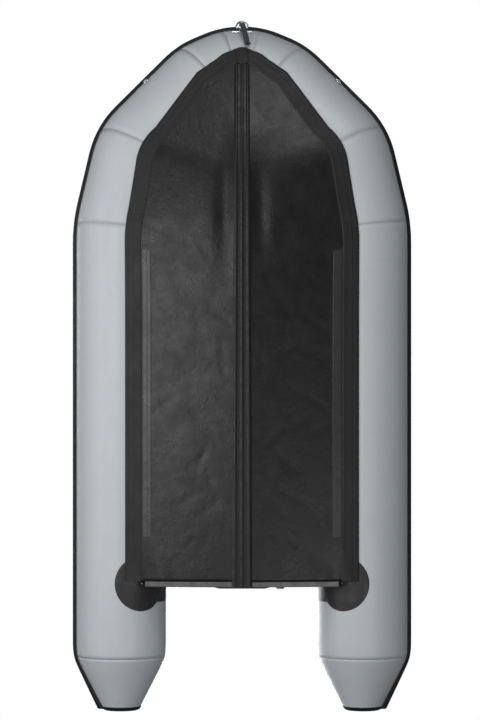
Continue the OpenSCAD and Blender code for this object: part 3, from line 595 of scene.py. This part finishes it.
def turned(profile, sides, seam=False):
    """Turns a profile of (along, radius) points round the side tube's axis."""
    rings = []
    for x, r in profile:
        ring = []
        for a in np.arange(sides) / sides * 2 * math.pi:
            off = (a - LONG_SEAM + math.pi) % (2 * math.pi) - math.pi
            lift = TAPE_LIFT * (1 - smooth(LONG_SEAM_HALF, LONG_SEAM_HALF * 1.5, abs(off))) if seam else 0
            ring.append(np.array([x, AXIS_Y + (r + lift) * math.sin(a), AXIS_Z - (r + lift) * math.cos(a)]))
        rings.append(ring)
    return rings


def cone_radius(f):
    """Radius from the cap, f 0, to the side tube, f 1."""
    return hull_radius(SIDE_START + (f - 1) * CONE_LEN)


def tail_cone(side_name, side):
    start = SIDE_START - CONE_LEN
    stops = sorted({*np.linspace(0, 1, 24), 0.018 / CONE_LEN, 0.020 / CONE_LEN, 0.060 / CONE_LEN,
                    1 - TAPE_HALF / CONE_LEN, 1 - (TAPE_HALF + 0.0015) / CONE_LEN})
    profile = []
    for f in stops:
        near_tube = (1 - f) * CONE_LEN
        lift = TAPE_LIFT * (1 - smooth(TAPE_HALF - 0.001, TAPE_HALF + 0.001, near_tube))
        lift += TAPE_LIFT * (1 - smooth(0.017, 0.021, f * CONE_LEN))
        profile.append((start + f * CONE_LEN, cone_radius(f) + lift))
    rings = turned(profile, TUBE_SIDES, True)
    place(shell(f"cone_panel_{side_name}", rings, GREY, side, True, PANEL_T), "hull", "grey_fabric",
          f"tail_cone_{side_name}")


def cap(side_name, side):
    """A dished cap with a rolled rim that grips the cone's end."""
    r = CONE_END_R + 0.0035
    lip = TAIL + CAP_T + 0.012
    profile = [(TAIL + 0.0035, 0.001), (TAIL + 0.003, 0.03), (TAIL + 0.0028, 0.055), (TAIL + 0.001, 0.062),
               (TAIL + 0.0, 0.068), (TAIL + 0.001, 0.077), (TAIL + 0.004, 0.0845), (TAIL + 0.008, r + 0.0005),
               (TAIL + 0.013, r + 0.003), (lip - 0.002, r + 0.006), (lip, r + 0.0062), (lip, r + 0.003),
               (TAIL + 0.010, r - 0.002), (TAIL + 0.009, 0.001)]
    rings = turned(profile, 72)
    place(swept(f"cap_moulding_{side_name}", rings, RUBBER, side), "hull", "black_rubber",
          f"end_cap_{side_name}")


for side_name, side in SIDES.items():
    tail_cone(side_name, side)
    cap(side_name, side)

# ---- Rub strake: one moulding each side, from the tail cap to the bow

STRAKE_OUT = 0.017
STRAKE_TAIL = 0.026
STRAKE_H = 0.064


def strake_profile(out, sides=36):
    """Half-round outer face with two grooves, on a flat foot: (up, out) pairs round the section."""
    face = []
    for a in np.linspace(-90, 90, sides):
        rad = math.radians(a)
        groove = sum(math.exp(-((a - g) / 7) ** 2) for g in (-30, 30))
        face.append((STRAKE_H / 2 * math.copysign(abs(math.sin(rad)) ** 0.8, rad),
                     out * math.cos(rad) ** 0.42 * (1 - 0.16 * groove)))
    return face


def strake_ring(centre, out_dir, up_dir, radius, out):
    """One section of the strake on a tube of a given radius."""
    ring = []
    for up, far in strake_profile(out):
        surface = math.sqrt(max(radius ** 2 - up ** 2, 0)) + 0.0002
        ring.append(centre + up_dir * up + out_dir * (surface + far))
    for up in np.linspace(STRAKE_H / 2, -STRAKE_H / 2, 9)[1:-1]:
        surface = math.sqrt(max(radius ** 2 - up ** 2, 0)) + 0.0003
        ring.append(centre + up_dir * up + out_dir * surface)
    return ring


def rub_strake(side_name, side):
    rings = []
    start = SIDE_START - CONE_LEN
    for f in np.linspace(0.0, 1, 16)[:-1]:
        centre = np.array([start + f * CONE_LEN, AXIS_Y, AXIS_Z])
        rings.append(strake_ring(centre, np.array([0, 1, 0]), np.array([0, 0, 1]), cone_radius(f),
                                 STRAKE_TAIL + (STRAKE_OUT - STRAKE_TAIL) * f))
    for q in [*np.linspace(0, 0.98, 60), *np.linspace(0.985, 4.5, 90)]:
        _, out, down = axes_at(q)
        radius = hull_radius(axis_at(q)[0]) if q < 1 else TUBE_R
        rings.append(strake_ring(axis_at(q), out, -down, radius, STRAKE_OUT))
    place(swept(f"strake_moulding_{side_name}", rings, RUBBER, side, sharp=30), "hull", "black_rubber",
          f"rub_strake_{side_name}")


for side_name, side in SIDES.items():
    rub_strake(side_name, side)

# ---- Transom holders: round patches lapped on the tube, and the flanges that grip the board

HOLDER_R = 0.132
HOLDER_T = 0.0012
HOLDER_TILT = math.radians(29)
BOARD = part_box("transom_board")
HOLDER_X = (BOARD[0].x + BOARD[1].x) / 2
FLANGE_T = 0.005
FLANGE_H = 0.190
FLANGE_REACH = 0.048
FLANGE_CORNER = 0.030
HOLDER_SHARE = 0.7
HOLDER_OVERLAP = 0.35
HOLDER_INNER = 0.004


def holder_relief(along, around):
    """Slack ripples where the patch is pulled in under the board."""
    pull = math.exp(-(along / 0.035) ** 2)
    return 0.0011 * pull * math.sin(around * 75) + 0.0005 * math.sin(along * 60 + around * 9)


def round_patch(name, side, tilt, *replaced):
    """A disc of fabric with a small hole at its centre, cut flat and wrapped on the side tube."""
    rows = []
    for reach in [*np.linspace(HOLDER_INNER, HOLDER_R - 0.004, 18), HOLDER_R - 0.0015, HOLDER_R]:
        row = []
        for a in np.arange(96) / 96 * 2 * math.pi:
            along, around = reach * math.cos(a), reach * math.sin(a)
            rim = 1 - smooth(HOLDER_R - 0.003, HOLDER_R, reach)
            lift = HOLDER_T * rim + max(0.0, holder_relief(along, around)) * rim + 0.0002
            row.append(on_tube(path_at_x(HOLDER_X + along), around / TUBE_R - tilt, TUBE_R + lift))
        rows.append(row)
    place(shell(name, rows, PATCH, side, True, 0.0008), "hull", "black_rubber", *replaced)


def holder_wall(side_name, side):
    """The strip of fabric between the two discs, on the tube's inboard side."""
    rows = []
    for a in np.linspace(-HOLDER_TILT - HOLDER_OVERLAP, HOLDER_TILT - math.pi + HOLDER_OVERLAP, 26):
        row = []
        for along in np.linspace(-HOLDER_SHARE, HOLDER_SHARE, 24) * HOLDER_R:
            lift = 0.0009 + max(0, holder_relief(along, a * TUBE_R))
            row.append(on_tube(path_at_x(HOLDER_X + along), a, TUBE_R + lift))
        rows.append(row)
    place(shell(f"holder_wall_{side_name}", rows, PATCH, side, False, 0.0006), "hull", "black_rubber")


def holder_flange(name, side, x, outward):
    """A rounded tongue of doubled fabric, thick at the tube and thin at its rim."""
    inner = AXIS_Y - TUBE_R - FLANGE_REACH
    rings = []
    for z in np.linspace(-1, 1, 41) * FLANGE_H / 2:
        over = max(0.0, abs(z) - FLANGE_H / 2 + FLANGE_CORNER)
        edge = inner + FLANGE_CORNER - math.sqrt(max(FLANGE_CORNER ** 2 - over ** 2, 0))
        foot = AXIS_Y - math.sqrt((TUBE_R + HOLDER_T) ** 2 - z ** 2)
        ys = np.linspace(edge, foot, 12)
        swell = [smooth(0, 0.004, y - edge) * (0.6 + 0.4 * smooth(0.01, 0.05, y - edge)) for y in ys]
        seam = [0.0006 * math.exp(-((y - edge - 0.008) / 0.0015) ** 2) for y in ys]
        face = [np.array([x + outward * (FLANGE_T * b - c), y, AXIS_Z + z])
                for y, b, c in zip(ys, swell, seam)]
        back = [np.array([x, y, AXIS_Z + z]) for y in reversed(ys)]
        rings.append(face + back)
    place(swept(name, rings, PATCH, side), "hull", "black_rubber")


for side_name, side in SIDES.items():
    round_patch(f"holder_patch_low_{side_name}", side, HOLDER_TILT, f"transom_holder_{side_name}")
    round_patch(f"holder_patch_high_{side_name}", side, math.pi - HOLDER_TILT)
    holder_wall(side_name, side)
    holder_flange(f"flange_outer_{side_name}", side, BOARD[0].x - 0.0001, -1)
    holder_flange(f"flange_inner_{side_name}", side, BOARD[1].x + 0.0001, 1)

# ---- Bottom: each half is a skin from the tube to the keel line

END_X = BOW[0] + SKIN_R * math.sin(math.radians(LEAVE[5]))
END_Z = BOW[2] - SKIN_R * math.cos(math.radians(LEAVE[5]))
RISE_X = END_X - 2 * (END_Z - KEEL_Z) / math.tan(math.radians(LEAVE[5]))
KEEL_X = (SKIN_X, AXIS[1][0] - 0.030, AXIS[2][0] - 0.124, AXIS[3][0] - 0.181, BOW[0] - 0.110, BOW[0] - 0.030)


def keel_z(x):
    if x < RISE_X:
        return KEEL_Z
    return KEEL_Z + (END_Z - KEEL_Z) * ((x - RISE_X) / (END_X - RISE_X)) ** 2


def eased(w, values):
    """Values at whole numbers of w, with the corners between them rounded."""
    spread = min(0.34, w, 5 - w)
    taps = [w - spread, w - spread / 2, w, w + spread / 2, w + spread]
    return float(np.dot([1, 2, 2, 2, 1], np.interp(taps, range(6), values)) / 8)


def skin_edge(w):
    """Where the skin leaves the tube: w is 0 at the transom, 1 to 4 at the tube's corners, 5 at the bow."""
    start = path_at_x(SKIN_X)
    q = start + w * (1 - start) if w < 1 else w if w < 4 else 4 + (w - 4) / 2
    return on_tube(q, math.radians(eased(w, LEAVE)), SKIN_R)


RANDOM = random.Random(7)
CREASES = [
    (RANDOM.uniform(SKIN_X + 0.15, AXIS[1][0] + 0.1), RANDOM.uniform(0.08, 0.42), RANDOM.uniform(-1.2, 1.2),
     RANDOM.uniform(0.012, 0.018), RANDOM.uniform(0.03, 0.09), RANDOM.uniform(0.0006, 0.0016))
    for _ in range(34)
]
HOLLOW_X = TAIL + 2.43


def skin_relief(x, y):
    """How far the skin is drawn up: hollows beside the keel, slack creases and the press of the floor."""
    hollow = 0.013 * math.exp(-((x - HOLLOW_X) / 0.22) ** 2) * math.exp(-((y - 0.082) / 0.042) ** 2)
    slack = 0.0
    for cx, cy, turn, wide, long, deep in CREASES:
        dx, dy = x - cx, y - cy
        along = dx * math.cos(turn) + dy * math.sin(turn)
        over = -dx * math.sin(turn) + dy * math.cos(turn)
        if abs(along) < 3 * long and abs(over) < 3 * wide:
            slack += deep * math.exp(-(along / long) ** 2 - (over / wide) ** 2)
    stern = 0.003 * math.exp(-((x - SKIN_X) / 0.10) ** 2) * math.sin(y * 46) * smooth(0.25, 0.45, y)
    return hollow + slack + stern


def skin_at(w, c, lift=0.0):
    """Point of the skin's lower face: c is 0 at the tube and 1 at the keel; lift is below it."""
    edge = skin_edge(w)
    x = eased(w, KEEL_X)
    keel = np.array([x, 0, keel_z(x)])
    point = edge + (keel - edge) * c
    belly = 0.0045 * math.sin(math.pi * c) * smooth(0, 0.5, 4.6 - w)
    point[2] += skin_relief(point[0], point[1]) * smooth(0, 0.12, c) * smooth(0, 0.06, 1 - c) - belly - lift
    return point


def skin_share(w, distance):
    """c at a distance from the edge, measured along the skin."""
    x = eased(w, KEEL_X)
    return distance / np.linalg.norm(np.array([x, 0, keel_z(x)]) - skin_edge(w))


SKIN_WS = [*np.linspace(0, 1, 120), *np.linspace(1, 3, 80)[1:], *np.linspace(3, 5, 56)[1:]]
SKIN_CS = np.linspace(0, 1, 56)


def bottom_half(side_name, side):
    rows = [[skin_at(w, c) for c in SKIN_CS] for w in SKIN_WS]
    skin = shell(f"skin_panel_{side_name}", rows, BOTTOM, side, False, SKIN_T, 1)
    place(skin, "hull", "black_fabric", f"bottom_skin_{side_name}")


CROSS_SEAMS = (TAIL + 2.186, TAIL + 2.352, TAIL + 2.722)
CROSS_PITCH = 0.013


def cross_lift(x):
    """Three low ridges where two lengths of tape overlap."""
    return sum(math.exp(-((x - seam - k * CROSS_PITCH) / 0.0036) ** 2)
               for seam in CROSS_SEAMS for k in (-1, 0, 1))


def cross_places():
    """Extra places along the skin, close together over each cross seam."""
    coarse = np.linspace(0, 4, 400)
    xs = [skin_at(w, 0.07)[0] for w in coarse]
    return [float(np.interp(seam + off, xs, coarse))
            for seam in CROSS_SEAMS for off in np.arange(-0.024, 0.0241, 0.002)]


def strip(name, ws, near, far, thick, mat, side, ribs, body_slot, *replaced, crossed=0.0):
    """A tape on the skin between two distances from its edge, with ribs that stand out of it."""
    columns = 22
    rings = []
    for w in ws:
        low, high = [], []
        for k in range(columns):
            f = k / (columns - 1)
            distance = near + (far - near) * f
            rib = sum(math.exp(-((f - r) / 0.035) ** 2) for r in ribs)
            rim = smooth(0, 0.07, f) * smooth(0, 0.07, 1 - f)
            c = min(0.97, skin_share(w, distance))
            cross = crossed * rim * cross_lift(skin_at(w, c)[0]) if crossed else 0
            low.append(skin_at(w, c, 0.0003 + thick * rim * (0.75 + 0.55 * rib) + cross))
            high.append(skin_at(w, c, 0.0002))
        rings.append(low + high[::-1])
    place(swept(name, rings, mat, side, sharp=60), "hull", body_slot, *replaced)


WEAR_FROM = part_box("wear_strips")[0].x
WEAR_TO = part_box("wear_strips")[1].x
WEAR_EDGES = (CHINE_W + 0.003, CHINE_W + 0.045)


def bottom_strips(side_name, side):
    ws = sorted({*np.linspace(0, 1, 60), *np.linspace(1, 4.8, 90), *cross_places()})
    strip(f"chine_band_{side_name}", ws, 0.001, CHINE_W, CHINE_T, TAPE, side, (0.12, 0.45, 0.88),
          "black_fabric", f"chine_tape_{side_name}", crossed=0.0011)
    start, end = (np.array([WEAR_FROM, WEAR_TO]) - SKIN_X) / (AXIS[1][0] - SKIN_X)
    strip(f"wear_strip_{side_name}", np.linspace(start, end, 50), *WEAR_EDGES, 0.0012,
          WEAR, side, (0.5,), "black_fabric", *(["wear_strips"] if side > 0 else []))


for side_name, side in SIDES.items():
    bottom_half(side_name, side)
    bottom_strips(side_name, side)

GUARD_END = END_X - CHINE_W - 0.006


def guard_ring(x):
    """Section of the keel guard: three round ridges between thin edges."""
    wide = GUARD_WIDE + (GUARD_NARROW - GUARD_WIDE) * (x - SKIN_X) / (GUARD_END - SKIN_X)
    z = keel_z(x)
    steps = np.linspace(-0.5, 0.5, 49)
    low = []
    for f in steps:
        ridge = max(math.exp(-((f - r) / 0.07) ** 4) for r in (-0.36, 0, 0.36))
        rim = smooth(0.5, 0.46, abs(f))
        low.append(np.array([x, f * wide, z - GUARD_T * rim * (0.42 + 0.58 * ridge)]))
    high = [np.array([x, f * wide, z + abs(f) * wide * 0.085 + 0.0002]) for f in (0.5, 0.25, 0, -0.25, -0.5)]
    return low + high


def keel_guard():
    xs = [*np.linspace(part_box("keel_guard")[0].x, RISE_X, 30), *np.linspace(RISE_X, GUARD_END, 40)[1:]]
    place(swept("guard_moulding", [guard_ring(x) for x in xs], GUARD, sharp=50), "hull", "black_rubber",
          "keel_guard")


def nose_patch():
    """A round-ended patch over the keel's nose."""
    length = END_X - GUARD_END
    rings = []
    for f in np.linspace(0.02, 0.98, 17):
        x = GUARD_END + length * f
        half = 0.030 * math.sqrt(max(0.0, 1 - (2 * f - 1) ** 6))
        z = keel_z(x) - 0.0026
        low = [np.array([x, half * g, z - 0.0028 * (1 - g ** 6)]) for g in np.linspace(-1, 1, 13)]
        rings.append(low + [np.array([x, half, z]), np.array([x, 0, z]), np.array([x, -half, z])])
    place(swept("nose_patch", rings, TAPE), "hull", "black_rubber", "keel_nose_patch")


keel_guard()
nose_patch()

# ---- CAD pieces that stay, with their finishes and softened edges

FINISH = {
    "grey_fabric": GREY, "black_fabric": TAPE, "black_rubber": RUBBER, "black_plastic": MOULDED,
    "grey_plastic": PALE, "transom_ply": TRANSOM, "varnished_ply": BOARDS, "alloy": ALLOY,
    "stainless": STEEL, "black_braid": BRAID,
}
SOFT_EDGES = {
    "transom_board": 0.004, "outer_motor_pad": 0.002, "inner_motor_pad": 0.002, "floorboard_aft": 0.0015,
    "floorboard_middle": 0.0015, "floorboard_fore": 0.0015, "seat_board_aft": 0.003, "seat_board_fore": 0.003,
    "floor_joiners": 0.0004, "floor_stringers": 0.0004, "rowlock_base_port": 0.0015,
    "rowlock_base_starboard": 0.0015, "valve_cap_port": 0.001, "valve_cap_starboard": 0.001,
    "valve_cap_keel": 0.001, "drain_plug": 0.001, "bow_bracket": 0.0008,
}


def finish_cad():
    slots = {part["node"]: part["material_slot"] for part in frame["record"]["subparts"]}
    for name, piece in nodes.items():
        if piece.hide_render:
            continue
        piece.data.materials.clear()
        piece.data.materials.append(FINISH[slots[name]])
        for polygon in piece.data.polygons:
            polygon.material_index = 0
        if name in SOFT_EDGES:
            weld = piece.modifiers.new("weld", "WELD")
            weld.merge_threshold = 1e-5
            edge = piece.modifiers.new("edge", "BEVEL")
            edge.width = SOFT_EDGES[name]
            edge.segments = 3
            edge.limit_method = "ANGLE"
            edge.angle_limit = math.radians(40)
            edge.harden_normals = True


finish_cad()

# ---- Floor, seen only from above, and soft studio light

def stage_floor():
    mesh = bpy.data.meshes.new("studio_floor")
    mesh.from_pydata([(-30, -30, 0), (30, -30, 0), (30, 30, 0), (-30, 30, 0)], [], [(0, 1, 2, 3)])
    floor = bpy.data.objects.new("studio_floor", mesh)
    bpy.context.scene.collection.objects.link(floor)
    floor.location.z = cad_box[0].z - 0.001
    mat = bpy.data.materials.new("pale_floor")
    mat.use_nodes = True
    tree = mat.node_tree
    shader = tree.nodes["Principled BSDF"]
    shader.inputs["Base Color"].default_value = (0.80, 0.80, 0.80, 1)
    shader.inputs["Roughness"].default_value = 0.9
    clear = tree.nodes.new("ShaderNodeBsdfTransparent")
    mix = tree.nodes.new("ShaderNodeMixShader")
    back = tree.nodes.new("ShaderNodeNewGeometry")
    tree.links.new(back.outputs["Backfacing"], mix.inputs[0])
    tree.links.new(shader.outputs[0], mix.inputs[1])
    tree.links.new(clear.outputs[0], mix.inputs[2])
    tree.links.new(mix.outputs[0], tree.nodes["Material Output"].inputs["Surface"])
    mesh.materials.append(mat)
    floor.visible_diffuse = False
    floor.visible_glossy = False
    floor.visible_transmission = False
    floor.visible_shadow = False


def area_light(name, spot, aim, size, power):
    lamp = bpy.data.lights.new(name, "AREA")
    lamp.shape = "RECTANGLE"
    lamp.size, lamp.size_y = size
    lamp.energy = power
    holder = bpy.data.objects.new(name, lamp)
    bpy.context.scene.collection.objects.link(holder)
    holder.location = spot
    holder.visible_camera = False
    holder.rotation_euler = (Vector(aim) - Vector(spot)).to_track_quat("-Z", "Y").to_euler()


def studio_world():
    world = bpy.data.worlds.new("studio")
    bpy.context.scene.world = world
    world.use_nodes = True
    tree = world.node_tree
    seen = tree.nodes["Background"]
    seen.inputs["Color"].default_value = (1, 1, 1, 1)
    seen.inputs["Strength"].default_value = 1.0
    fill = tree.nodes.new("ShaderNodeBackground")
    fill.inputs["Color"].default_value = (0.97, 0.98, 1, 1)
    fill.inputs["Strength"].default_value = 0.16
    path = tree.nodes.new("ShaderNodeLightPath")
    mix = tree.nodes.new("ShaderNodeMixShader")
    tree.links.new(path.outputs["Is Camera Ray"], mix.inputs[0])
    tree.links.new(fill.outputs[0], mix.inputs[1])
    tree.links.new(seen.outputs[0], mix.inputs[2])
    tree.links.new(mix.outputs[0], tree.nodes["World Output"].inputs["Surface"])


stage_floor()
studio_world()
area_light("key_below", (0.3, -1.9, -4.6), (0.1, -0.2, 0.2), (2.6, 1.5), 96)
area_light("key_left", (0.2, -4.2, -2.2), (0.1, -0.5, 0.3), (4.6, 1.8), 80)
area_light("fill_below", (-2.2, 1.7, -4.6), (-0.5, 0.2, 0.2), (1.8, 1.5), 50)
area_light("bow_ahead", (4.3, 0.5, -2.6), (1.3, 0.15, 0.4), (2.2, 1.6), 62)
area_light("top_soft", (-0.5, -1.5, 4.5), (0, 0, 0.2), (4.5, 3.5), 260)
bpy.context.scene.view_settings.view_transform = "Standard"
